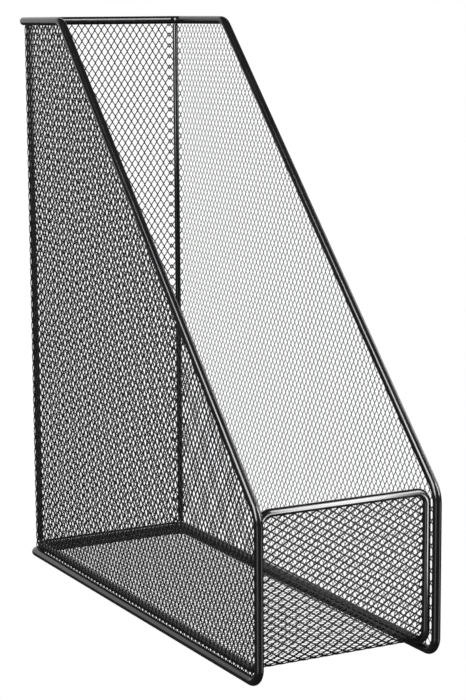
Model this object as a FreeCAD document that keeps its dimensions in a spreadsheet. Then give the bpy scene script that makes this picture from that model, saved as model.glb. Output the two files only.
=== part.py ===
import FreeCAD, Part
import math
import os
import Sketcher

# Mesh magazine file, in millimetres.
# +Z is up, the low open front faces -Y, and the origin is the centre of the footprint on the desk.
# One heavy wire is bent into the outer frame. A thinner wire is bent into the front lip and the base
# ring, and stands a little inside the outer one. Two thin posts stand in the back corners. Three wall
# sheets and one tray sheet of expanded metal are welded between the wires. The sheets are plain
# here: only their place, outline and bends count.

os.makedirs("parts", exist_ok=True)
doc = FreeCAD.newDocument("magazine_file")

# ---------------------------------------------------------------- driving dimensions

SIZES = [
    ("overall_width", 103.0, "outside of the two side frames"),
    ("overall_depth", 280.0, "front of the frame to its back"),
    ("overall_height", 310.0, "desk to the top of the rim"),
    ("frame_wire", 4.5, "diameter of the outer frame wire"),
    ("inner_wire", 4.0, "diameter of the lip and base wire"),
    ("post_wire", 3.2, "diameter of the corner posts"),
    ("sheet", 0.5, "thickness of an expanded-metal sheet over its twisted strands"),
    ("seam", 0.02, "space left between welded neighbours"),
    ("wall_inset", 0.3, "frame wire's centreline to the outer faces of the walls"),
    ("knee_height", 82.8, "where the front upright's line meets the slope's line"),
    ("top_run", 58.0, "rim's line from the slope to the back rail's line"),
    ("front_bend", 8.0, "centreline radius of the bottom front corners"),
    ("knee_bend", 14.0, "centreline radius between upright and slope"),
    ("shoulder_bend", 10.0, "centreline radius between slope and rim"),
    ("back_bend", 6.0, "centreline radius of the frame's back corners"),
    ("lip_height", 83.0, "centreline of the lip's top bar"),
    ("lip_setback", 4.85, "upright's centreline back to the centreline of the lip's legs"),
    ("lip_bend", 6.0, "centreline radius of the lip's top corners"),
    ("foot_bend", 8.0, "centreline radius where the lip's legs turn back under the floor"),
    ("base_height", 6.4, "centreline of the base wire and middle plane of the floor"),
    ("base_bend", 6.0, "centreline radius of the base wire's back corners"),
]

sheet = doc.addObject("Spreadsheet::Sheet", "Sizes")
for row, (alias, number, meaning) in enumerate(SIZES, start=1):
    sheet.set(f"A{row}", meaning)
    sheet.set(f"B{row}", str(number))
    sheet.setAlias(f"B{row}", alias)
doc.recompute()

# ---------------------------------------------------------------- places worked out from them

# Each place is an expression, so that sketches and features can be bound to it.
WIRE_X = "(Sizes.overall_width / 2 - Sizes.frame_wire / 2)"
WIRE_Y = "(Sizes.overall_depth / 2 - Sizes.frame_wire / 2)"
RAIL_Z = "(Sizes.frame_wire / 2)"
RIM_Z = "(Sizes.overall_height - Sizes.frame_wire / 2)"
SHOULDER_Y = f"({WIRE_Y} - Sizes.top_run)"
EDGE_GAP = "(Sizes.frame_wire / 2 + Sizes.seam)"
WALL_X = f"({WIRE_X} - Sizes.wall_inset)"
WALL_Y = f"({WIRE_Y} - Sizes.wall_inset)"
WALL_BEND = "(Sizes.back_bend - Sizes.wall_inset)"
WALL_FRONT = f"(-{WIRE_Y} + {EDGE_GAP})"
WALL_FOOT = f"({RAIL_Z} + {EDGE_GAP})"
WALL_TOP = f"({RIM_Z} - {EDGE_GAP})"
LEG_X = f"({WALL_X} - Sizes.sheet - Sizes.seam - Sizes.inner_wire / 2)"
LEG_Y = f"(-{WIRE_Y} + Sizes.lip_setback)"
BASE_Y = f"({WALL_Y} - Sizes.sheet - Sizes.seam - Sizes.inner_wire / 2)"
INNER_GAP = "(Sizes.inner_wire / 2 + Sizes.seam)"


def value(expression):
    """The number that an expression over the sheet gives now."""
    found = sheet.evalExpression(str(expression))
    return float(getattr(found, "Value", found))


# ---------------------------------------------------------------- bent wires

def bent_loop(corners):
    """Straight runs and tangent arcs of a closed loop; a corner is a point and its bend radius."""
    bends = []
    for index, (corner, radius) in enumerate(corners):
        before = (corners[index - 1][0] - corner).normalize()
        after = (corners[(index + 1) % len(corners)][0] - corner).normalize()
        half = before.getAngle(after) / 2
        middle_way = (before + after).normalize()
        centre = corner + middle_way * (radius / math.sin(half))
        reach = radius / math.tan(half)
        middle = centre - middle_way * radius
        bends.append((corner + before * reach, middle, corner + after * reach))
    edges = []
    for index, (start, middle, end) in enumerate(bends):
        edges.append(Part.Arc(start, middle, end).toShape())
        following = bends[(index + 1) % len(bends)][0]
        edges.append(Part.LineSegment(end, following).toShape())
    return edges


def wire_solid(edges, radius):
    """One round bar along the edges: a cylinder on each run, a turned disc on each bend."""
    lengths = []
    for edge in edges:
        start = edge.valueAt(edge.FirstParameter)
        along = edge.tangentAt(edge.FirstParameter)
        if isinstance(edge.Curve, Part.Line):
            lengths.append(Part.makeCylinder(radius, edge.Length, start, along))
            continue
        disc = Part.Face(Part.Wire(Part.makeCircle(radius, start, along)))
        turn = math.degrees(edge.Length / edge.Curve.Radius)
        lengths.append(disc.revolve(edge.Curve.Center, edge.Curve.Axis, turn))
    bar = lengths[0].multiFuse(lengths[1:]).removeSplitter()
    return bar.Solids[0] if len(bar.Solids) == 1 else bar


def add_wire(label, corners, radius):
    """A bent wire as a feature of the document, with its volume compared to section x length."""
    edges = bent_loop(corners)
    wire = doc.addObject("Part::Feature", label)
    wire.Shape = wire_solid(edges, radius)
    wire.Placement = FreeCAD.Placement()
    wire.Label = label
    wanted = sum(edge.Length for edge in edges) * math.pi * radius ** 2
    print(label, "volume", round(wire.Shape.Volume, 1), "section x length", round(wanted, 1))
    return wire


def outer_frame_wire():
    """Base rails, front uprights, slopes and rim: one closed wire bent at ten places."""
    side = value("Sizes.overall_width / 2 - Sizes.frame_wire / 2")
    end = value(WIRE_Y)
    rail = value(RAIL_Z)
    rim = value(RIM_Z)
    half_loop = [
        ((side, end, rail), value("Sizes.back_bend")),
        ((side, -end, rail), value("Sizes.front_bend")),
        ((side, -end, value("Sizes.knee_height")), value("Sizes.knee_bend")),
        ((side, value(SHOULDER_Y), rim), value("Sizes.shoulder_bend")),
        ((side, end, rim), value("Sizes.back_bend")),
    ]
    return add_wire("outer_frame_wire", mirrored_loop(half_loop), value("Sizes.frame_wire / 2"))


def inner_frame_wire():
    """Front lip, its two legs and the ring round the floor: one closed wire bent at six places."""
    side = value(LEG_X)
    front = value(LEG_Y)
    base = value("Sizes.base_height")
    half_loop = [
        ((side, front, value("Sizes.lip_height")), value("Sizes.lip_bend")),
        ((side, front, base), value("Sizes.foot_bend")),
        ((side, value(BASE_Y), base), value("Sizes.base_bend")),
    ]
    return add_wire("inner_frame_wire", mirrored_loop(half_loop), value("Sizes.inner_wire / 2"))


def mirrored_loop(half_loop):
    """The right half's corners followed by their mirror images on the left, in reverse order."""
    right = [(FreeCAD.Vector(*place), radius) for place, radius in half_loop]
    left = [(FreeCAD.Vector(-x, y, z), radius) for (x, y, z), radius in reversed(half_loop)]
    return right + left


# ---------------------------------------------------------------- corner posts

def corner_post(label, side):
    """A thin upright wire nested in the rounded back corner, from the base wire to the rim."""
    nest = f"({WALL_BEND} - Sizes.sheet - Sizes.seam - Sizes.post_wire / 2)"
    inset = f"({WALL_BEND} - {nest} * {math.sqrt(0.5)})"
    bottom = f"(Sizes.base_height + {INNER_GAP})"
    post = doc.addObject("Part::Cylinder", label)
    post.Label = label
    post.setExpression("Radius", "Sizes.post_wire / 2")
    post.setExpression("Height", f"{WALL_TOP} - {bottom}")
    post.setExpression("Placement.Base.x", f"{side} * ({WALL_X} - {inset})")
    post.setExpression("Placement.Base.y", f"{WALL_Y} - {inset}")
    post.setExpression("Placement.Base.z", bottom)
    return post


# ---------------------------------------------------------------- sheets

def origin_plane(body, role):
    """A body's own origin plane."""
    return next(plane for plane in body.Origin.OriginFeatures if plane.Role == role)


def outline_sketch(body, name, role, outlines, offset="0"):
    """A sketch of closed straight outlines whose corners are tied to expressions over the sheet."""
    sketch = body.newObject("Sketcher::SketchObject", name)
    sketch.AttachmentSupport = [(origin_plane(body, role), "")]
    sketch.MapMode = "FlatFace"
    sketch.setExpression("AttachmentOffset.Base.z", offset)
    for corners in outlines:
        first = sketch.GeometryCount
        places = [FreeCAD.Vector(value(across), value(up), 0) for across, up in corners]
        for start, end in zip(places, places[1:] + places[:1]):
            sketch.addGeometry(Part.LineSegment(start, end), False)
        for index in range(len(corners)):
            following = first + (index + 1) % len(corners)
            sketch.addConstraint(Sketcher.Constraint("Coincident", first + index, 2, following, 1))
        for index, (across, up) in enumerate(corners):
            tie(sketch, "DistanceX", first + index, across)
            tie(sketch, "DistanceY", first + index, up)
    return sketch


def tie(sketch, direction, line, expression):
    """Hold a line's start at a distance from the origin that follows an expression."""
    rule = Sketcher.Constraint(direction, -1, 1, line, 1, value(expression))
    number = sketch.addConstraint(rule)
    sketch.setExpression(f"Constraints[{number}]", expression)


def pad(body, name, sketch, length, both_sides=False):
    """A pad of the sketch whose length follows an expression."""
    feature = body.newObject("PartDesign::Pad", name)
    feature.Profile = sketch
    feature.setExpression("Length", length)
    feature.Midplane = both_sides
    doc.recompute()
    return feature


def pocket(body, name, sketch, length, both_sides=False):
    """A pocket of the sketch; it has to take material away."""
    before = body.Shape.Volume
    feature = body.newObject("PartDesign::Pocket", name)
    feature.Profile = sketch
    feature.setExpression("Length", length)
    feature.Midplane = both_sides
    doc.recompute()
    if feature.Shape.Volume > before - 1.0:
        raise RuntimeError(f"{name} cuts nothing")
    return feature


def round_edge(body, name, place, radius):
    """A fillet on the one long edge of the body that passes through a place."""
    base = body.Tip
    point = Part.Vertex(FreeCAD.Vector(*place))
    names = [f"Edge{number}" for number, edge in enumerate(base.Shape.Edges, start=1)
             if edge.distToShape(point)[0] < 0.001]
    feature = body.newObject("PartDesign::Fillet", name)
    feature.Base = (base, names)
    feature.setExpression("Radius", radius)
    doc.recompute()
    return feature


def side_wall_mesh(label, side):
    """A side sheet: it runs from the front upright, turns the back corner and ends at the post."""
    body = doc.addObject("PartDesign::Body", label)
    body.Label = label
    outside = f"{side} * {WALL_X}"
    inside = f"{side} * ({WALL_X} - Sizes.sheet)"
    tip = f"{side} * ({WALL_X} - {WALL_BEND})"
    plan = [(outside, WALL_FRONT), (outside, WALL_Y), (tip, WALL_Y),
            (tip, f"{WALL_Y} - Sizes.sheet"), (inside, f"{WALL_Y} - Sizes.sheet"),
            (inside, WALL_FRONT)]
    sketch = outline_sketch(body, label + "_plan", "XY_Plane", [plan], WALL_FOOT)
    pad(body, label + "_rise", sketch, f"{WALL_TOP} - {WALL_FOOT}")
    middle = value(f"({RIM_Z} + {RAIL_Z}) / 2")
    outer_corner = (value(outside), value(WALL_Y), middle)
    round_edge(body, label + "_outer_turn", outer_corner, f"{WALL_BEND} - Sizes.seam / 2")
    inner_corner = (value(inside), value(f"{WALL_Y} - Sizes.sheet"), middle)
    round_edge(body, label + "_inner_turn", inner_corner, f"{WALL_BEND} - Sizes.sheet - Sizes.seam")

    # The slope's line moves down and back by the edge gap, and meets the front edge and the top.
    rise = f"({RIM_Z} - Sizes.knee_height)"
    run = f"({SHOULDER_Y} + {WIRE_Y})"
    slope = f"({rise} / {run})"
    drop = f"({EDGE_GAP} * sqrt(1 + {slope} * {slope}))"
    knee = f"(Sizes.knee_height + {EDGE_GAP} * {slope} - {drop})"
    shoulder = f"({WALL_FRONT} + ({WALL_TOP} - {knee}) / {slope})"
    margin = 20.0
    above_slope = [(f"{WALL_FRONT} - {margin}", f"{knee} - {margin} * {slope}"),
                   (f"{shoulder} + {margin}", f"{WALL_TOP} + {margin} * {slope}"),
                   (f"{WALL_FRONT} - {margin}", f"{WALL_TOP} + {margin} * {slope}")]
    cut = outline_sketch(body, label + "_slope_line", "YZ_Plane", [above_slope])
    pocket(body, label + "_slope_cut", cut, "Sizes.overall_width * 2", both_sides=True)
    between = value(f"({outside} + {inside}) / 2")
    round_edge(body, label + "_front_corner", (between, value(WALL_FRONT), value(WALL_FOOT)),
               f"Sizes.front_bend - {EDGE_GAP}")
    round_edge(body, label + "_knee", (between, value(WALL_FRONT), value(knee)),
               f"Sizes.knee_bend - {EDGE_GAP}")
    round_edge(body, label + "_shoulder", (between, value(shoulder), value(WALL_TOP)),
               f"Sizes.shoulder_bend - {EDGE_GAP}")
    return body


def back_wall_mesh():
    """The back sheet between the two corner posts."""
    label = "back_wall_mesh"
    body = doc.addObject("PartDesign::Body", label)
    body.Label = label
    edge = f"({WALL_X} - {WALL_BEND} - 2 * Sizes.seam)"
    plan = [(f"-{edge}", f"{WALL_Y} - Sizes.sheet"), (edge, f"{WALL_Y} - Sizes.sheet"),
            (edge, WALL_Y), (f"-{edge}", WALL_Y)]
    sketch = outline_sketch(body, label + "_plan", "XY_Plane", [plan], WALL_FOOT)
    pad(body, label + "_rise", sketch, f"{WALL_TOP} - {WALL_FOOT}")
    return body


def base_and_front_mesh():
    """The tray: the front panel fills the lip and bends back along its feet into the floor."""
    label = "base_and_front_mesh"
    body = doc.addObject("PartDesign::Body", label)
    body.Label = label
    panel_out = f"({LEG_Y} - Sizes.sheet / 2)"
    panel_in = f"({LEG_Y} + Sizes.sheet / 2)"
    floor_low = "(Sizes.base_height - Sizes.sheet / 2)"
    floor_top = "(Sizes.base_height + Sizes.sheet / 2)"
    panel_top = f"(Sizes.lip_height - {INNER_GAP})"
    floor_back = f"({BASE_Y} - {INNER_GAP})"
    half_width = f"({LEG_X} - {INNER_GAP})"
    profile = [(panel_out, panel_top), (panel_out, floor_low), (floor_back, floor_low),
               (floor_back, floor_top), (panel_in, floor_top), (panel_in, panel_top)]
    sketch = outline_sketch(body, label + "_profile", "YZ_Plane", [profile])
    pad(body, label + "_width", sketch, f"2 * {half_width}", both_sides=True)
    round_edge(body, label + "_bend_outside", (0, value(panel_out), value(floor_low)),
               "Sizes.foot_bend + Sizes.sheet / 2")
    round_edge(body, label + "_bend_inside", (0, value(panel_in), value(floor_top)),
               "Sizes.foot_bend - Sizes.sheet / 2")
    for name, side in (("left", -1), ("right", 1)):
        edge = value(f"{side} * {half_width}")
        round_edge(body, f"{label}_{name}_top_corner", (edge, value(LEG_Y), value(panel_top)),
                   f"Sizes.lip_bend - {INNER_GAP}")
        round_edge(body, f"{label}_{name}_back_corner",
                   (edge, value(floor_back), value("Sizes.base_height")),
                   f"Sizes.base_bend - {INNER_GAP}")
    return body


# ---------------------------------------------------------------- build, check and write

pieces = [
    outer_frame_wire(),
    inner_frame_wire(),
    corner_post("corner_post_left", -1),
    corner_post("corner_post_right", 1),
    side_wall_mesh("left_wall_mesh", -1),
    side_wall_mesh("right_wall_mesh", 1),
    back_wall_mesh(),
    base_and_front_mesh(),
]
doc.recompute()

for item in doc.Objects:
    if {"Invalid", "Error"} & set(item.State):
        raise RuntimeError(f"{item.Label} failed: {item.State}")
for piece in pieces:
    if piece.Shape.isNull() or not piece.Shape.isValid() or len(piece.Shape.Solids) != 1:
        raise RuntimeError(f"{piece.Label} is not one valid solid")

for piece in pieces:
    box = piece.Shape.BoundBox
    print(piece.Label, [round(v, 2) for v in (box.XMin, box.XMax, box.YMin, box.YMax, box.ZMin, box.ZMax)])
    piece.Shape.exportStep(f"parts/{piece.Label}.step")
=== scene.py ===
import math
from collections import namedtuple

import bmesh
import bpy
from bpy.props import FloatProperty, FloatVectorProperty, IntProperty, PointerProperty
from mathutils import Matrix, Vector


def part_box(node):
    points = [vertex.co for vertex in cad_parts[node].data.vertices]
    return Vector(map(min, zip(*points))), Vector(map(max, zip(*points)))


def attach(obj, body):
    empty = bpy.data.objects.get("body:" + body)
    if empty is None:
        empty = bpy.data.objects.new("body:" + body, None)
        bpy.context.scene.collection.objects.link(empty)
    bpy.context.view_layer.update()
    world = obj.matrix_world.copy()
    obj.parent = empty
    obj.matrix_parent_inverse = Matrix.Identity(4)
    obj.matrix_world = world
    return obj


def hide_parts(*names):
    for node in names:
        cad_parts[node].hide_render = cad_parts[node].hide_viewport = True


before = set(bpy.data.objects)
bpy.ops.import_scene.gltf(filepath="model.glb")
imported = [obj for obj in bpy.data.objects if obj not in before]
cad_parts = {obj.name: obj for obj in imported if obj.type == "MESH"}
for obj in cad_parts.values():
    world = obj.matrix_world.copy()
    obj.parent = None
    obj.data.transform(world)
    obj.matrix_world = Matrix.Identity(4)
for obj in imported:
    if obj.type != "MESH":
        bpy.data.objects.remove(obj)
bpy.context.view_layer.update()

bl_info = {
    "name": "Mesh Magazine File",
    "version": (1, 0, 0),
    "blender": (4, 5, 0),
    "location": "View3D > Sidebar > Magazine File",
    "description": "Bends the wires, cuts and bends the expanded metal and sets the stage",
    "category": "Object",
}

MERGE = 2e-6  # metres; points nearer than this are the same point
MESH_MERGE = 5 * MERGE  # the same, for strands that meet where two diamonds join
WIRE_STEP = math.radians(6)  # how far a wire turns from one ring of its bend to the next
FOLD_STEP = math.radians(5)  # how far a sheet turns from one crease of its fold to the next
SMOOTH = math.radians(40)  # edges sharper than this stay sharp


# ------------------------------------------------------------------ settings

def length(name, text, default):
    """A length in metres that the sidebar shows in the scene's own units."""
    return FloatProperty(
        name=name, description=text, default=default, min=0.0, precision=5, unit="LENGTH"
    )


def colour(name, text, default):
    """A colour swatch."""
    return FloatVectorProperty(
        name=name, description=text, default=default, min=0.0, max=1.0, size=3, subtype="COLOR"
    )


def share(name, text, default):
    """A number from 0 to 1."""
    return FloatProperty(name=name, description=text, default=default, min=0.0, max=1.0)


def amount(name, text, default):
    """A number that isn't a length and has no upper end."""
    return FloatProperty(name=name, description=text, default=default, min=0.0)


def heading(name, text, default):
    """An angle of the camera, in radians, which the sidebar shows in degrees."""
    return FloatProperty(name=name, description=text, default=default, unit="ROTATION")


class WireSettings(bpy.types.PropertyGroup):
    """Gauges, bends and heights of the bent wires."""

    frame_wire: length("Frame wire", "Diameter of the outer frame wire", 0.0045)
    inner_wire: length("Lip wire", "Diameter of the lip and base wire", 0.0040)
    knee_height: length("Knee height", "Where the upright's line meets the slope's line", 0.0828)
    top_run: length("Top run", "Rim's line from the slope to the back rail's line", 0.0580)
    front_bend: length("Front bend", "Radius of the bottom front corners", 0.0080)
    knee_bend: length("Knee bend", "Radius between upright and slope", 0.0140)
    shoulder_bend: length("Shoulder bend", "Radius between slope and rim", 0.0100)
    back_bend: length("Back bend", "Radius of the frame's back corners", 0.0060)
    lip_bend: length("Lip bend", "Radius of the lip's top corners", 0.0060)
    foot_bend: length("Foot bend", "Radius where the lip's legs turn back", 0.0080)
    base_bend: length("Base bend", "Radius of the base wire's back corners", 0.0060)
    sides: IntProperty(name="Sides", description="Flats round a wire", default=32, min=8)
    post_sides: IntProperty(name="Post sides", description="Flats round a post", default=24, min=8)
    post_round: share("Post rounding", "Rounding of a post's ends as a share of its radius", 1 / 3)


class MeshSettings(bpy.types.PropertyGroup):
    """The expanded metal: its diamonds, its strands and its edges."""

    long_pitch: length("Long pitch", "From bond to bond the long way of a diamond", 0.00617)
    wall_pitch: length("Wall pitch", "From bond to bond the short way, in the walls", 0.00405)
    tray_pitch: length("Tray pitch", "From bond to bond the short way, in the tray", 0.00367)
    bond_long: length("Bond length", "Half the length of the metal where wall strands meet", 0.00066)
    bond_short: length("Bond width", "Half the width of the metal where wall strands meet", 0.00033)
    tray_gauge: amount("Tray gauge", "Size of the tray's bonds as a share of the walls'", 1.25)
    strand: share("Strand", "Width of a strand's middle as a share of its end", 0.80)
    steel: length("Steel", "Thickness of the slit steel", 0.00020)
    twist: length("Twist", "How far a strand's edges stand out of the sheet", 0.00015)
    seam: length("Seam", "Space between a wire and the edge of a sheet's outline", 0.00002)
    grip: length("Grip", "How far the cut strands run into the wire they are welded to", 0.00040)


class FinishSettings(bpy.types.PropertyGroup):
    """The black powder coat on the wires and on the mesh."""

    wire_colour: colour("Wire colour", "Powder coat on the wires", (0.0035, 0.0035, 0.0038))
    mesh_colour: colour("Mesh colour", "Powder coat on the mesh", (0.003, 0.003, 0.0033))
    wire_roughness: share("Wire roughness", "Middle roughness of the coat on the wires", 0.19)
    mesh_roughness: share("Mesh roughness", "Middle roughness of the coat on the mesh", 0.42)
    wire_sheen: share("Wire sheen", "Strength of the wires' reflections", 0.50)
    mesh_sheen: share("Mesh sheen", "Strength of the mesh's reflections", 0.30)
    peel: length("Orange peel", "Height of the coat's fine waviness", 0.000003)
    peel_size: length("Peel size", "Width of one wave of the coat", 0.0011)
    patches: amount("Patches", "Patches of even gloss and tint to a metre", 45.0)
    smoother: share("Smoother", "Taken off the roughness in the glossiest patches", 0.03)
    rougher: share("Rougher", "Added to the roughness in the dullest patches", 0.04)
    darkest: amount("Darkest", "Tint of the darkest patches to the middle tint", 0.8)
    lightest: amount("Lightest", "Tint of the lightest patches to the middle tint", 1.3)


class StageSettings(bpy.types.PropertyGroup):
    """Floor, light and camera."""

    white: amount("White", "Brightness of the backdrop as it is seen", 1.0)
    glow: amount("Glow", "Brightness that the floor throws on the file", 0.15)
    dusk: amount("Dusk", "Brightness of the room round the lights", 0.06)
    left: amount("Left", "Power of the tall light at the left, in watts", 62.0)
    right: amount("Right", "Power of the light at the front right, in watts", 34.0)
    far: amount("Far", "Power of the light at the far right, in watts", 10.0)
    low: amount("Low", "Power of each light under the floor, in watts", 2.6)
    card: amount("Card", "Power of the small light on the lip, in watts", 0.70)
    back: amount("Back", "Power of the wide light behind the file, in watts", 30.0)
    cove: length("Cove", "Radius between the floor and the wall behind it", 1.5)
    eye: FloatVectorProperty(
        name="Eye", description="Where the camera stands", default=(-0.4855, -0.9356, 0.3145),
        size=3, precision=5, subtype="TRANSLATION",
    )
    yaw: heading("Yaw", "How far the camera looks to the right of straight back", 0.4880)
    pitch: heading("Pitch", "How far it looks down", 0.1670)
    roll: heading("Roll", "How far it leans; below zero it leans right", -0.0064)
    lens: amount("Lens", "Focal length in millimetres", 104.43)
    sensor: amount("Sensor", "Width of the sensor in millimetres", 36.0)


GROUPS = {
    "file_wires": WireSettings,
    "file_mesh": MeshSettings,
    "file_finish": FinishSettings,
    "file_stage": StageSettings,
}


# ------------------------------------------------------------------ places read from the frame

def frame_lines():
    """Centreline places of the outer frame wire: side, front, back, rail and rim."""
    wires = bpy.context.scene.file_wires
    low, high = (Vector(corner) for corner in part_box("outer_frame_wire"))
    half = wires.frame_wire / 2
    Lines = namedtuple("Lines", "side front back rail rim")
    return Lines(high.x - half, low.y + half, high.y - half, low.z + half, high.z - half)


def tray_lines():
    """Centreline places of the lip and base wire: half width, front, back, base and top bar."""
    low, high = (Vector(corner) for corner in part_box("inner_frame_wire"))
    half = bpy.context.scene.file_wires.inner_wire / 2
    Lines = namedtuple("Lines", "side front back base top")
    return Lines(high.x - half, low.y + half, high.y - half, low.z + half, high.z - half)


def sheet_half():
    """Half the thickness of a sheet over its twisted strands."""
    mesh = bpy.context.scene.file_mesh
    return mesh.steel / 2 + mesh.twist


# ------------------------------------------------------------------ work at the bench

def clear_bench():
    """Leaves edit mode and lets go of everything that is selected."""
    if bpy.context.object and bpy.context.object.mode != "OBJECT":
        bpy.ops.object.mode_set(mode="OBJECT")
    bpy.ops.object.select_all(action="DESELECT")


def take(piece):
    """Selects one piece, and only it."""
    clear_bench()
    piece.select_set(True)
    bpy.context.view_layer.objects.active = piece


def start_edit(piece):
    """Opens a piece in edit mode with all of it selected."""
    take(piece)
    bpy.ops.object.mode_set(mode="EDIT")
    bpy.ops.mesh.select_mode(type="VERT")
    bpy.ops.mesh.select_all(action="SELECT")


def choose(piece, kind, wanted):
    """In edit mode, selects only the vertices, edges or faces whose middle passes the test."""
    bpy.ops.mesh.select_mode(type={"verts": "VERT", "edges": "EDGE", "faces": "FACE"}[kind])
    bpy.ops.mesh.select_all(action="DESELECT")
    shape = bmesh.from_edit_mesh(piece.data)
    for part in getattr(shape, kind):
        points = [part.co] if kind == "verts" else [v.co for v in part.verts]
        if wanted(sum(points, Vector()) / len(points)):
            part.select_set(True)
    shape.select_flush_mode()
    bmesh.update_edit_mesh(piece.data)


def add_modifier(piece, kind, **values):
    """Adds a modifier with its values and applies it."""
    take(piece)
    modifier = piece.modifiers.new(kind.title(), kind)
    for name, value in values.items():
        setattr(modifier, name, value)
    bpy.ops.object.modifier_apply(modifier=modifier.name)


def settle(piece):
    """Puts the piece's turn and place into its mesh, so that its object is at the origin."""
    take(piece)
    bpy.ops.object.transform_apply(location=True, rotation=True, scale=True)


def finish_piece(piece, name, material, nodes):
    """Names a piece, gives it its finish and ties it to the frame."""
    piece.name = name
    piece.data.name = name
    piece.data.materials.clear()
    piece.data.materials.append(material)
    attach(piece, "root")
    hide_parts(*nodes)


# ------------------------------------------------------------------ bent paths

Bend = namedtuple("Bend", "start centre axis angle end")


def bends_of(corners, closed=True):
    """The arcs that round a chain of corners, each corner a point and its bend radius."""
    bends = []
    points = [Vector(point) for point, radius in corners]
    radii = [radius for point, radius in corners]
    for index, (here, radius) in enumerate(zip(points, radii)):
        if not closed and index in (0, len(corners) - 1):
            continue
        before = (here - points[index - 1]).normalized()
        after = (points[(index + 1) % len(points)] - here).normalized()
        angle = before.angle(after)
        reach = radius * math.tan(angle / 2)
        inward = (after - before).normalized()
        centre = here + inward * (radius / math.cos(angle / 2))
        axis = before.cross(after).normalized()
        bends.append(Bend(here - before * reach, centre, axis, angle, here + after * reach))
    return bends


def follow(here, bends, step):
    """In edit mode, draws what is selected along straight runs and round each bend."""
    for bend in bends:
        run = bend.start - here
        if run.length > MERGE:
            bpy.ops.mesh.extrude_region_move(TRANSFORM_OT_translate={"value": run})
        steps = max(2, round(bend.angle / step))
        bpy.ops.mesh.spin(steps=steps, angle=-bend.angle, center=bend.centre, axis=bend.axis)
        here = bend.end
    return here


def bent_wire(corners, diameter):
    """A closed round wire through the corners."""
    wires = bpy.context.scene.file_wires
    bends = bends_of(corners)
    start = bends[0].end
    ahead = (bends[1].start - start).to_track_quat("Z", "Y").to_euler()
    clear_bench()
    bpy.ops.mesh.primitive_circle_add(
        vertices=wires.sides, radius=diameter / 2, location=start, rotation=ahead
    )
    wire = bpy.context.object
    settle(wire)
    start_edit(wire)
    follow(start, bends[1:] + bends[:1], WIRE_STEP)
    bpy.ops.mesh.select_all(action="SELECT")
    bpy.ops.mesh.remove_doubles(threshold=MERGE)
    bpy.ops.mesh.normals_make_consistent(inside=False)
    bpy.ops.object.mode_set(mode="OBJECT")
    bpy.ops.object.shade_smooth()
    return wire


def mirrored(half):
    """The corners of the right half, followed by their mirror images back along the left."""
    return half + [((-x, y, z), radius) for (x, y, z), radius in reversed(half)]


def fold_path(corners):
    """A flat open path that a sheet can be wrapped along. It lies in the XY plane and is drawn
    from a speck, a tiny plane that is merged to one point."""
    speck = 0.001
    clear_bench()
    bpy.ops.mesh.primitive_plane_add(size=speck, location=corners[0][0])
    path = bpy.context.object
    settle(path)
    start_edit(path)
    bpy.ops.mesh.merge(type="CENTER")
    end = follow(Vector(corners[0][0]), bends_of(corners, closed=False), FOLD_STEP)
    bpy.ops.mesh.extrude_region_move(
        TRANSFORM_OT_translate={"value": Vector(corners[-1][0]) - end}
    )
    bpy.ops.object.mode_set(mode="OBJECT")
    bpy.ops.object.convert(target="CURVE")
    path = bpy.context.object
    path.data.dimensions = "2D"
    first = path.data.splines[0].points[0].co.to_3d()
    if (first - Vector(corners[0][0])).length > MERGE:
        bpy.ops.object.mode_set(mode="EDIT")
        bpy.ops.curve.select_all(action="SELECT")
        bpy.ops.curve.switch_direction()
        bpy.ops.object.mode_set(mode="OBJECT")
    return path


# ------------------------------------------------------------------ expanded metal

Weave = namedtuple("Weave", "short_pitch bond_short bond_long")


def weave_of(short_pitch, gauge=1.0):
    """One size of mesh: its short pitch, and its bonds at a gauge of the walls' bonds."""
    mesh = bpy.context.scene.file_mesh
    return Weave(short_pitch, mesh.bond_short * gauge, mesh.bond_long * gauge)


def diamond_cell(weave):
    """Two bonds with their half strands: the smallest stretch of mesh that repeats.
    It stands in the XZ plane, the long way of its diamonds along Z."""
    mesh = bpy.context.scene.file_mesh
    clear_bench()
    bpy.ops.mesh.primitive_circle_add(
        vertices=4, radius=1.0, fill_type="NGON", rotation=(math.pi / 2, 0, 0)
    )
    cell = bpy.context.object
    settle(cell)
    start_edit(cell)
    size = (weave.bond_short, 1, weave.bond_long)
    bpy.ops.transform.resize(value=size, center_override=(0, 0, 0))
    for across in (-1, 1):
        for up in (-1, 1):
            choose(cell, "edges", lambda p: p.x * across > 0 and p.z * up > 0
                   and abs(p.x) < weave.bond_short)
            reach_x = across * (weave.short_pitch / 4 - weave.bond_short / 2)
            reach_z = up * (mesh.long_pitch / 4 - weave.bond_long / 2)
            bpy.ops.mesh.extrude_edges_move(
                TRANSFORM_OT_translate={"value": (reach_x, 0, reach_z)}
            )
            middle = (across * weave.short_pitch / 4, 0, up * mesh.long_pitch / 4)
            bpy.ops.transform.resize(value=(mesh.strand,) * 3, center_override=middle)
    for way in (-1, 1):
        choose(cell, "verts", lambda p: way * side_of_strand(p, weave) > 0)
        bpy.ops.transform.translate(value=(0, way * mesh.twist, 0))
    bpy.ops.mesh.select_all(action="SELECT")
    bpy.ops.mesh.duplicate_move(
        TRANSFORM_OT_translate={"value": (weave.short_pitch / 2, 0, mesh.long_pitch / 2)}
    )
    bpy.ops.object.mode_set(mode="OBJECT")
    return cell


def side_of_strand(point, weave):
    """Which edge of its strand a cell's point is on: 1, -1, or 0 on the line between bonds."""
    slack = weave.bond_short / 10
    on_bond = abs(point.x) < weave.bond_short + slack
    line = 0.0 if on_bond else math.copysign(weave.short_pitch / 4, point.x)
    offset = point.x - line
    return 0 if abs(offset) < slack else math.copysign(1, offset)


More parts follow.
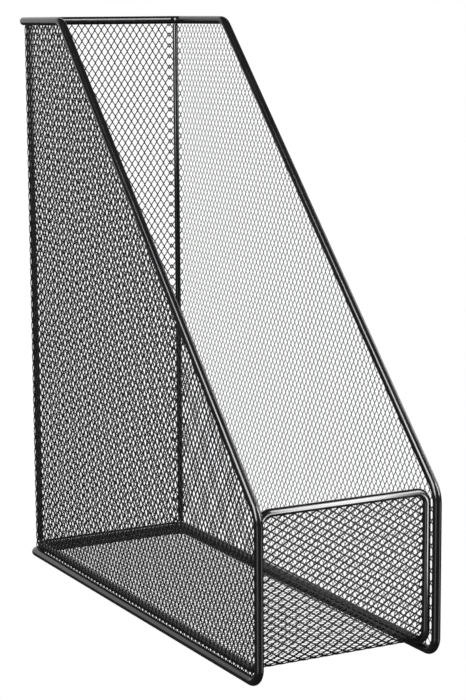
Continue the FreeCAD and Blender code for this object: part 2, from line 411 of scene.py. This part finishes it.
def lattice(x_range, z_range, weave):
    """Flat mesh that more than covers a rectangle of the XZ plane, its bonds on a fixed grid."""
    pitch_x, pitch_z = weave.short_pitch, bpy.context.scene.file_mesh.long_pitch
    cell = diamond_cell(weave)
    first_x = math.floor(x_range[0] / pitch_x) - 1
    first_z = math.floor(z_range[0] / pitch_z) - 1
    count_x = math.ceil(x_range[1] / pitch_x) + 1 - first_x
    count_z = math.ceil(z_range[1] / pitch_z) + 1 - first_z
    start_edit(cell)
    bpy.ops.transform.translate(value=(first_x * pitch_x, 0, first_z * pitch_z))
    for count, offset in ((count_x, (pitch_x, 0, 0)), (count_z, (0, 0, pitch_z))):
        add_modifier(
            cell, "ARRAY", count=count, use_relative_offset=False, use_constant_offset=True,
            constant_offset_displace=offset,
        )
    start_edit(cell)
    bpy.ops.mesh.remove_doubles(threshold=MESH_MERGE)
    bpy.ops.object.mode_set(mode="OBJECT")
    return cell


def outline_cuts(corners, inset):
    """Cuts that follow a rounded outline at an inset: each is a point and a normal that points at
    the waste. A corner is a place in the XZ plane and its bend radius; they go round one way."""
    bends = bends_of([((x, 0, z), radius) for (x, z), radius in corners])
    cuts = []
    for bend, following in zip(bends, bends[1:] + bends[:1]):
        outward = (following.start - bend.end).normalized().cross(bend.axis)
        cuts.append((bend.end - outward * inset, outward))
        spoke = bend.start - bend.centre
        for part in (0.25, 0.5, 0.75):
            if spoke.length > inset:
                normal = Matrix.Rotation(bend.angle * part, 3, bend.axis) @ spoke.normalized()
                cuts.append((bend.centre + normal * (spoke.length - inset), normal))
    return cuts


def cut_sheet(corners, inset, weave):
    """A flat sheet of mesh cut to a rounded outline."""
    across = [place[0] for place, radius in corners]
    up = [place[1] for place, radius in corners]
    sheet = lattice((min(across), max(across)), (min(up), max(up)), weave)
    start_edit(sheet)
    for point, normal in outline_cuts(corners, inset):
        bpy.ops.mesh.select_all(action="SELECT")
        bpy.ops.mesh.bisect(plane_co=point, plane_no=normal, clear_outer=True)
    bpy.ops.object.mode_set(mode="OBJECT")
    return sheet


def wrap(piece, corners):
    """Lays the flat mesh along a path of straight runs and bends."""
    path = fold_path(corners)
    add_modifier(piece, "CURVE", object=path, deform_axis="POS_X")
    take(path)
    bpy.ops.object.delete()


def give_thickness(piece):
    """Turns the flat strands into steel of their real thickness."""
    mesh = bpy.context.scene.file_mesh
    start_edit(piece)
    bpy.ops.mesh.remove_doubles(threshold=MESH_MERGE)
    bpy.ops.mesh.normals_make_consistent(inside=False)
    add_modifier(piece, "SOLIDIFY", thickness=mesh.steel, offset=0.0, use_even_offset=False)
    take(piece)
    bpy.ops.object.shade_smooth_by_angle(angle=SMOOTH)


# ------------------------------------------------------------------ finishes

def powder_coat(name, tint, roughness, sheen):
    """A black powder coat: a fine orange peel, and gloss and tint that vary a little from patch to
    patch. The patches come from a noise that seldom leaves the range 0.3 to 0.7."""
    found = bpy.data.materials.get(name)
    if found:
        return found
    finish = bpy.context.scene.file_finish
    material = bpy.data.materials.new(name)
    material.use_nodes = True
    nodes, links = material.node_tree.nodes, material.node_tree.links
    shader = nodes["Principled BSDF"]
    shader.inputs["IOR"].default_value = 1.5
    shader.inputs["Specular IOR Level"].default_value = sheen
    place = nodes.new("ShaderNodeTexCoord")

    peel = nodes.new("ShaderNodeTexNoise")
    peel.inputs["Scale"].default_value = 1 / finish.peel_size
    peel.inputs["Detail"].default_value = 2.0
    bump = nodes.new("ShaderNodeBump")
    bump.inputs["Distance"].default_value = finish.peel
    bump.inputs["Strength"].default_value = 1.0
    links.new(place.outputs["Object"], peel.inputs["Vector"])
    links.new(peel.outputs["Fac"], bump.inputs["Height"])
    links.new(bump.outputs["Normal"], shader.inputs["Normal"])

    cloud = nodes.new("ShaderNodeTexNoise")
    cloud.inputs["Scale"].default_value = finish.patches
    cloud.inputs["Detail"].default_value = 3.0
    gloss = nodes.new("ShaderNodeMapRange")
    gloss.inputs["From Min"].default_value = 0.3
    gloss.inputs["From Max"].default_value = 0.7
    gloss.inputs["To Min"].default_value = roughness - finish.smoother
    gloss.inputs["To Max"].default_value = roughness + finish.rougher
    links.new(place.outputs["Object"], cloud.inputs["Vector"])
    links.new(cloud.outputs["Fac"], gloss.inputs["Value"])
    links.new(gloss.outputs["Result"], shader.inputs["Roughness"])

    shades = nodes.new("ShaderNodeValToRGB")
    shades.color_ramp.elements[0].color = (*[part * finish.darkest for part in tint], 1.0)
    shades.color_ramp.elements[1].color = (*[part * finish.lightest for part in tint], 1.0)
    links.new(cloud.outputs["Fac"], shades.inputs["Fac"])
    links.new(shades.outputs["Color"], shader.inputs["Base Color"])
    return material


def wire_coat():
    """The finish of the wires."""
    finish = bpy.context.scene.file_finish
    return powder_coat(
        "wire_powder_coat", finish.wire_colour, finish.wire_roughness, finish.wire_sheen
    )


def mesh_coat():
    """The finish of the mesh."""
    finish = bpy.context.scene.file_finish
    return powder_coat(
        "mesh_powder_coat", finish.mesh_colour, finish.mesh_roughness, finish.mesh_sheen
    )


# ------------------------------------------------------------------ operators

class OuterFrame(bpy.types.Operator):
    """Bend the outer frame: base rails, uprights, slopes and rim in one closed wire"""

    bl_idname = "magazine_file.outer_frame"
    bl_label = "Outer Frame Wire"

    def execute(self, context):
        wires = context.scene.file_wires
        at = frame_lines()
        wire = bent_wire(mirrored([
            ((at.side, at.back, at.rail), wires.back_bend),
            ((at.side, at.front, at.rail), wires.front_bend),
            ((at.side, at.front, wires.knee_height), wires.knee_bend),
            ((at.side, at.back - wires.top_run, at.rim), wires.shoulder_bend),
            ((at.side, at.back, at.rim), wires.back_bend),
        ]), wires.frame_wire)
        finish_piece(wire, "frame_wire_visual", wire_coat(), ["outer_frame_wire"])
        return {"FINISHED"}


class InnerFrame(bpy.types.Operator):
    """Bend the front lip, its legs and the ring round the floor in one closed wire"""

    bl_idname = "magazine_file.inner_frame"
    bl_label = "Lip and Base Wire"

    def execute(self, context):
        wires = context.scene.file_wires
        at = tray_lines()
        wire = bent_wire(mirrored([
            ((at.side, at.front, at.top), wires.lip_bend),
            ((at.side, at.front, at.base), wires.foot_bend),
            ((at.side, at.back, at.base), wires.base_bend),
        ]), wires.inner_wire)
        finish_piece(wire, "lip_wire_visual", wire_coat(), ["inner_frame_wire"])
        return {"FINISHED"}


class CornerPosts(bpy.types.Operator):
    """Stand a thin post in each back corner"""

    bl_idname = "magazine_file.corner_posts"
    bl_label = "Corner Posts"

    def execute(self, context):
        wires = context.scene.file_wires
        for node in ("corner_post_left", "corner_post_right"):
            low, high = (Vector(corner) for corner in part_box(node))
            middle = (low + high) / 2
            radius = (high.y - low.y) / 2
            height = high.z - low.z
            clear_bench()
            bpy.ops.mesh.primitive_cylinder_add(
                vertices=wires.post_sides, radius=radius, depth=height, location=middle
            )
            post = context.object
            settle(post)
            start_edit(post)
            choose(post, "faces", lambda p: abs(p.z - middle.z) > height / 2 - MERGE)
            bpy.ops.mesh.bevel(offset=radius * wires.post_round, segments=3, affect="EDGES")
            bpy.ops.object.mode_set(mode="OBJECT")
            bpy.ops.object.shade_smooth_by_angle(angle=SMOOTH)
            finish_piece(post, node + "_visual", wire_coat(), [node])
        return {"FINISHED"}


class SideWalls(bpy.types.Operator):
    """Cut the two side sheets to the frame and turn their back edges round the corners"""

    bl_idname = "magazine_file.side_walls"
    bl_label = "Side Walls"

    def execute(self, context):
        wires = context.scene.file_wires
        mesh = context.scene.file_mesh
        at = frame_lines()
        half = sheet_half()
        inset = wires.frame_wire / 2 + mesh.seam - mesh.grip
        for node, way in (("left_wall_mesh", -1), ("right_wall_mesh", 1)):
            low, high = (Vector(corner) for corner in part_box(node))
            plane = max(abs(low.x), abs(high.x)) - half
            tip = min(abs(low.x), abs(high.x))
            back = high.y - half
            turn = plane - tip
            width = back - turn - at.front + turn * math.pi / 2
            shoulder = at.back - wires.top_run - at.front
            sheet = cut_sheet([
                ((0, at.rail), wires.front_bend),
                ((width + inset, at.rail), 0),
                ((width + inset, at.rim), 0),
                ((shoulder, at.rim), wires.shoulder_bend),
                ((0, wires.knee_height), wires.knee_bend),
            ], inset, weave_of(mesh.wall_pitch))
            start_edit(sheet)
            bpy.ops.transform.resize(value=(1, -way, 1), center_override=(0, 0, 0))
            wrap(sheet, [
                ((way * plane, at.front, 0), 0),
                ((way * plane, back, 0), turn),
                ((way * (tip - MESH_MERGE), back, 0), 0),
            ])
            give_thickness(sheet)
            finish_piece(sheet, node + "_visual", mesh_coat(), [node])
        return {"FINISHED"}


class BackWall(bpy.types.Operator):
    """Cut the back sheet that stands between the posts"""

    bl_idname = "magazine_file.back_wall"
    bl_label = "Back Wall"

    def execute(self, context):
        mesh = context.scene.file_mesh
        low, high = (Vector(corner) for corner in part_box("back_wall_mesh"))
        sheet = cut_sheet([
            ((low.x, low.z - mesh.grip), 0),
            ((high.x, low.z - mesh.grip), 0),
            ((high.x, high.z + mesh.grip), 0),
            ((low.x, high.z + mesh.grip), 0),
        ], 0.0, weave_of(mesh.wall_pitch))
        start_edit(sheet)
        bpy.ops.transform.translate(value=(0, (low.y + high.y) / 2, 0))
        give_thickness(sheet)
        finish_piece(sheet, "back_wall_mesh_visual", mesh_coat(), ["back_wall_mesh"])
        return {"FINISHED"}


class Tray(bpy.types.Operator):
    """Cut the tray sheet to the lip and base wire and bend it back along the lip's feet"""

    bl_idname = "magazine_file.tray"
    bl_label = "Front Panel and Floor"

    def execute(self, context):
        wires = context.scene.file_wires
        mesh = context.scene.file_mesh
        at = tray_lines()
        saved = wires.foot_bend * (2 - math.pi / 2)
        total = at.top - at.base + at.back - at.front - saved
        tray = cut_sheet([
            ((0, -at.side), wires.lip_bend),
            ((total, -at.side), wires.base_bend),
            ((total, at.side), wires.base_bend),
            ((0, at.side), wires.lip_bend),
        ], wires.inner_wire / 2 + mesh.seam - mesh.grip, weave_of(mesh.tray_pitch, mesh.tray_gauge))
        start_edit(tray)
        bpy.ops.transform.resize(value=(1, -1, 1), center_override=(0, 0, 0))
        wrap(tray, [
            ((at.front, at.top, 0), 0),
            ((at.front, at.base, 0), wires.foot_bend),
            ((at.back, at.base, 0), 0),
        ])
        tray.rotation_euler = (math.pi / 2, 0, math.pi / 2)
        settle(tray)
        give_thickness(tray)
        finish_piece(tray, "tray_mesh_visual", mesh_coat(), ["base_and_front_mesh"])
        return {"FINISHED"}


Lamp = namedtuple("Lamp", "name power size place aim")


class Stage(bpy.types.Operator):
    """Set the white floor and its cove, the backdrop, the soft lights and the camera"""

    bl_idname = "magazine_file.stage"
    bl_label = "Stage"

    def execute(self, context):
        stage = context.scene.file_stage
        self.floor(stage)
        self.world(context, stage)
        for lamp in (
            Lamp("left_light", stage.left, (0.8, 1.5), (-1.25, -0.6, 1.0), (0, 0, 0.15)),
            Lamp("right_light", stage.right, (0.6, 1.1), (0.88, -1.0, 0.9), (0, -0.1, 0.1)),
            Lamp("far_light", stage.far, (0.5, 1.0), (1.5, 0.1, 0.7), (0, 0, 0.15)),
            Lamp("left_low_light", stage.low, (0.7, 0.7), (-1.15, -0.75, -0.35), (0, -0.1, 0.1)),
            Lamp("right_low_light", stage.low, (0.6, 0.7), (0.95, -0.95, -0.35), (0, -0.1, 0.1)),
            Lamp("back_light", stage.back, (4.0, 2.4), (0, 2.6, 0.9), (0, 0, 0.2)),
            Lamp("lip_card", stage.card, (0.065, 0.17), (0.057, -0.24, 0.086), (0, -0.133, 0.083)),
        ):
            self.hang(context, lamp)
        self.keep_to("lip_card", "lip_wire_visual")
        self.camera(context, stage)
        return {"FINISHED"}

    def hang(self, context, lamp):
        """Hangs a soft rectangular light that the camera doesn't see."""
        clear_bench()
        bpy.ops.object.light_add(type="AREA", location=lamp.place)
        light = context.object
        light.name = lamp.name
        light.data.shape = "RECTANGLE"
        light.data.energy = lamp.power
        light.data.size, light.data.size_y = lamp.size
        light.visible_camera = False
        ray = Vector(lamp.aim) - Vector(lamp.place)
        light.rotation_euler = ray.to_track_quat("-Z", "Y").to_euler()

    def keep_to(self, light, piece):
        """Lets a light fall on one piece alone."""
        lit = bpy.data.collections.new(light + "_falls_on")
        lit.objects.link(bpy.data.objects[piece])
        bpy.data.objects[light].light_linking.receiver_collection = lit

    def floor(self, stage):
        """A wide white floor that curves up into a wall behind the file."""
        size, middle, rise = 8.0, -0.5, 3.0
        back = middle + size / 2
        clear_bench()
        bpy.ops.mesh.primitive_plane_add(size=size, location=(0, middle, 0))
        floor = bpy.context.object
        settle(floor)
        start_edit(floor)
        choose(floor, "edges", lambda p: p.y > back - MERGE)
        bpy.ops.mesh.spin(
            steps=16, angle=-math.pi / 2, center=(0, back, stage.cove), axis=(1, 0, 0)
        )
        bpy.ops.mesh.extrude_region_move(TRANSFORM_OT_translate={"value": (0, 0, rise)})
        bpy.ops.object.mode_set(mode="OBJECT")
        bpy.ops.object.shade_smooth()
        floor.name = "floor"
        floor.visible_glossy = False
        floor.visible_shadow = False
        paint = bpy.data.materials.new("white_floor")
        paint.use_nodes = True
        nodes, links = paint.node_tree.nodes, paint.node_tree.links
        shader = nodes["Principled BSDF"]
        shader.inputs["Base Color"].default_value = (0, 0, 0, 1)
        shader.inputs["Specular IOR Level"].default_value = 0.0
        shader.inputs["Emission Color"].default_value = (1, 1, 1, 1)
        strength = shader.inputs["Emission Strength"]
        self.seen_or_thrown(nodes, links, stage.white, stage.glow, strength)
        floor.data.materials.append(paint)

    def world(self, context, stage):
        """A white backdrop to the eye and a dim room to everything else."""
        world = bpy.data.worlds.new("studio")
        world.use_nodes = True
        nodes, links = world.node_tree.nodes, world.node_tree.links
        nodes["Background"].inputs["Color"].default_value = (1, 1, 1, 1)
        strength = nodes["Background"].inputs["Strength"]
        self.seen_or_thrown(nodes, links, stage.white, stage.dusk, strength)
        context.scene.world = world
        context.scene.view_settings.view_transform = "Standard"

    def seen_or_thrown(self, nodes, links, seen, thrown, socket):
        """Feeds a strength that is one number to the camera and another to reflections and light."""
        path = nodes.new("ShaderNodeLightPath")
        pick = nodes.new("ShaderNodeMapRange")
        pick.inputs["To Min"].default_value = thrown
        pick.inputs["To Max"].default_value = seen
        links.new(path.outputs["Is Camera Ray"], pick.inputs["Value"])
        links.new(pick.outputs["Result"], socket)

    def camera(self, context, stage):
        """The camera stands at the front left, level with the rim, and looks a little down."""
        yaw, pitch, roll = stage.yaw, stage.pitch, stage.roll
        clear_bench()
        bpy.ops.object.camera_add(location=stage.eye)
        camera = context.object
        level = math.cos(pitch)
        ahead = Vector((math.sin(yaw) * level, math.cos(yaw) * level, -math.sin(pitch)))
        across = Vector((math.cos(yaw), -math.sin(yaw), 0))
        up = across.cross(ahead)
        right = across * math.cos(roll) + up * math.sin(roll)
        top = up * math.cos(roll) - across * math.sin(roll)
        camera.rotation_euler = Matrix((right, top, -ahead)).transposed().to_euler()
        camera.data.lens = stage.lens
        camera.data.sensor_width = stage.sensor
        context.scene.camera = camera


OPERATORS = (OuterFrame, InnerFrame, CornerPosts, SideWalls, BackWall, Tray, Stage)


class FilePanel(bpy.types.Panel):
    """The steps of the build, in order, with their sizes"""

    bl_label = "Magazine File"
    bl_idname = "VIEW3D_PT_magazine_file"
    bl_space_type = "VIEW_3D"
    bl_region_type = "UI"
    bl_category = "Magazine File"

    def draw(self, context):
        for step in OPERATORS:
            self.layout.operator(step.bl_idname)
        for name, group in GROUPS.items():
            box = self.layout.box()
            for value in group.__annotations__:
                box.prop(getattr(context.scene, name), value)


def register():
    """Adds the settings, the operators and the panel to Blender."""
    for kind in (*GROUPS.values(), *OPERATORS, FilePanel):
        bpy.utils.register_class(kind)
    for name, group in GROUPS.items():
        setattr(bpy.types.Scene, name, PointerProperty(type=group))


def unregister():
    """Takes them out again."""
    for name in GROUPS:
        delattr(bpy.types.Scene, name)
    for kind in reversed((*GROUPS.values(), *OPERATORS, FilePanel)):
        bpy.utils.unregister_class(kind)


def main():
    """Builds the whole file."""
    register()
    for step in OPERATORS:
        group, name = step.bl_idname.split(".")
        getattr(getattr(bpy.ops, group), name)()
    clear_bench()


if __name__ == "__main__":
    main()
